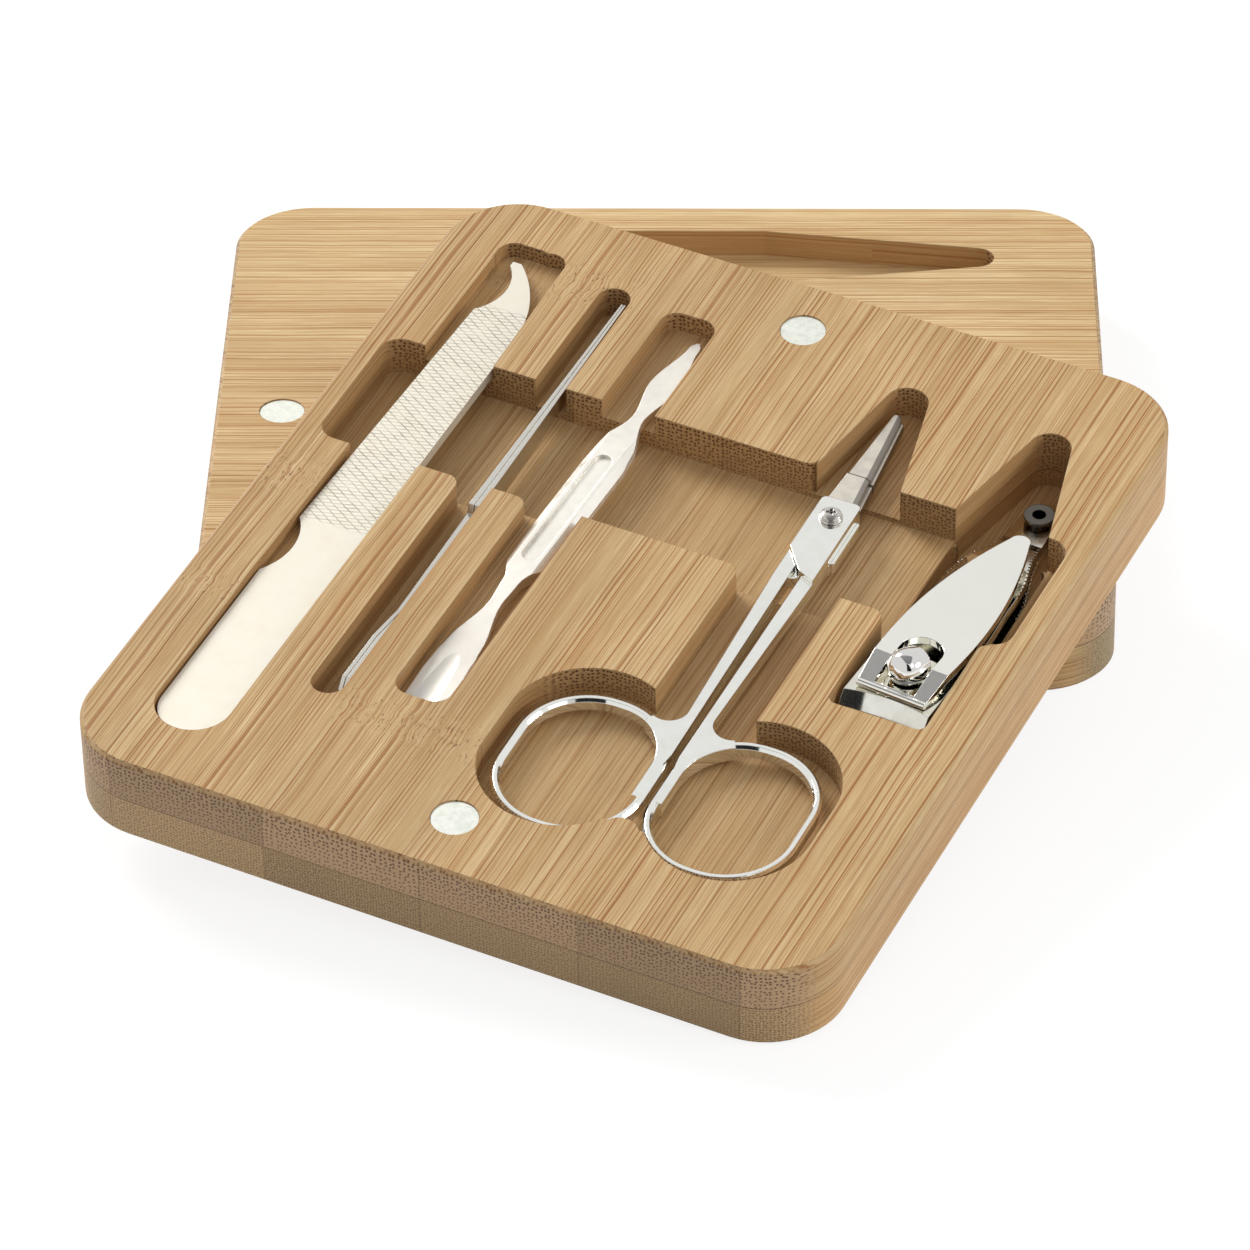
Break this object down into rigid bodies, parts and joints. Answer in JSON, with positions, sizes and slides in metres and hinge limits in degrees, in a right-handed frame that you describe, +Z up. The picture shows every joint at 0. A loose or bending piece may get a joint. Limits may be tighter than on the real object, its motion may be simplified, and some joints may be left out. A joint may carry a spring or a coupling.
{
  "type": "manicure set case",
  "caption": "Rounded bamboo case in halves joined by magnets: a lid, and a tray leaning on it with pockets for a file, tweezers, a cuticle pusher, scissors and a clipper.",
  "frame": {"origin": "middle of the lid's underside, on the table", "axes": "+X along the lid's grain, to the right as pictured; +Y away from the viewer, from the tray towards the lid; +Z up"},
  "size_m": [0.1378, 0.1827, 0.0358],
  "materials": {
    "bamboo_face": "satin, lightly oiled",
    "bamboo_under": "satin, lightly oiled",
    "magnet_plating": "nickel plated, slightly mottled",
    "file_steel": "matte plated steel",
    "tweezer_steel": "satin plated steel",
    "pusher_steel": "satin plated steel",
    "scissors_steel": "polished handles, matte blades",
    "screw_steel": "domed, dark nickel",
    "clipper_steel": "mirror polish",
    "eyelet_steel": "dark nickel"
  },
  "bodies": {
    "lid": {"lid_upper_ply": "bamboo_face", "lid_lower_ply": "bamboo_under", "lid_magnet_left": "magnet_plating", "lid_magnet_right": "magnet_plating"},
    "base": {"base_upper_ply": "bamboo_face", "base_lower_ply": "bamboo_under", "base_magnet_near": "magnet_plating", "base_magnet_far": "magnet_plating"},
    "file": {"nail_file": "file_steel"},
    "pusher": {"cuticle_pusher": "pusher_steel"},
    "tweezers": {"tweezer_arm_right": "tweezer_steel"},
    "tweezers_left": {"tweezer_arm_left": "tweezer_steel"},
    "scissors": {"scissors_lower_half": "scissors_steel", "scissors_screw": "screw_steel"},
    "scissors_upper": {"scissors_upper_half": "scissors_steel"},
    "clipper": {"clipper_lower_leaf": "clipper_steel", "clipper_post": "clipper_steel", "clipper_eyelet": "eyelet_steel"},
    "clipper_jaw": {"clipper_upper_leaf": "clipper_steel"},
    "clipper_lever": {"clipper_lever": "clipper_steel"}
  },
  "joints": [
    {"name": "base_lift", "type": "slide", "parent": "lid", "child": "base", "axis": [0, 0, 1], "range_m": [0, 0.05]},
    {"name": "file_lift", "type": "slide", "parent": "base", "child": "file", "axis": [0, -0.1619, 0.9868], "range_m": [0, 0.06]},
    {"name": "pusher_lift", "type": "slide", "parent": "base", "child": "pusher", "axis": [0, -0.1619, 0.9868], "range_m": [0, 0.06]},
    {"name": "tweezers_lift", "type": "slide", "parent": "base", "child": "tweezers", "axis": [0, -0.1619, 0.9868], "range_m": [0, 0.09]},
    {"name": "scissors_lift", "type": "slide", "parent": "base", "child": "scissors", "axis": [0, -0.1619, 0.9868], "range_m": [0, 0.1]},
    {"name": "clipper_lift", "type": "slide", "parent": "base", "child": "clipper", "axis": [0, -0.1619, 0.9868], "range_m": [0, 0.06]},
    {"name": "tweezers_open", "type": "hinge", "parent": "tweezers", "child": "tweezers_left", "pos_m": [-0.03885, -0.07928, 0.01787], "axis": [0, -0.1619, 0.9868], "range_deg": [0, 5]},
    {"name": "scissors_open", "type": "hinge", "parent": "scissors", "child": "scissors_upper", "pos_m": [0.02272, -0.04839, 0.02306], "axis": [0, -0.1619, 0.9868], "range_deg": [0, 25]},
    {"name": "clipper_close", "type": "hinge", "parent": "clipper", "child": "clipper_jaw", "pos_m": [0.04744, -0.04677, 0.0186], "axis": [0.893, -0.4442, -0.0729], "range_deg": [0, 2], "stiffness_Nm_per_rad": 0.5, "springref_deg": -0.57},
    {"name": "lever_tilt", "type": "hinge", "parent": "clipper", "child": "clipper_lever", "pos_m": [0.03012, -0.08202, 0.01994], "axis": [0.8725, -0.4822, -0.0791], "range_deg": [0, 25]}
  ],
  "couplings": [
    {"joint": "tweezers_open", "follows": "tweezers_lift", "rad_per_m": 0.968},
    {"joint": "scissors_open", "follows": "scissors_lift", "rad_per_m": 4.36}
  ]
}
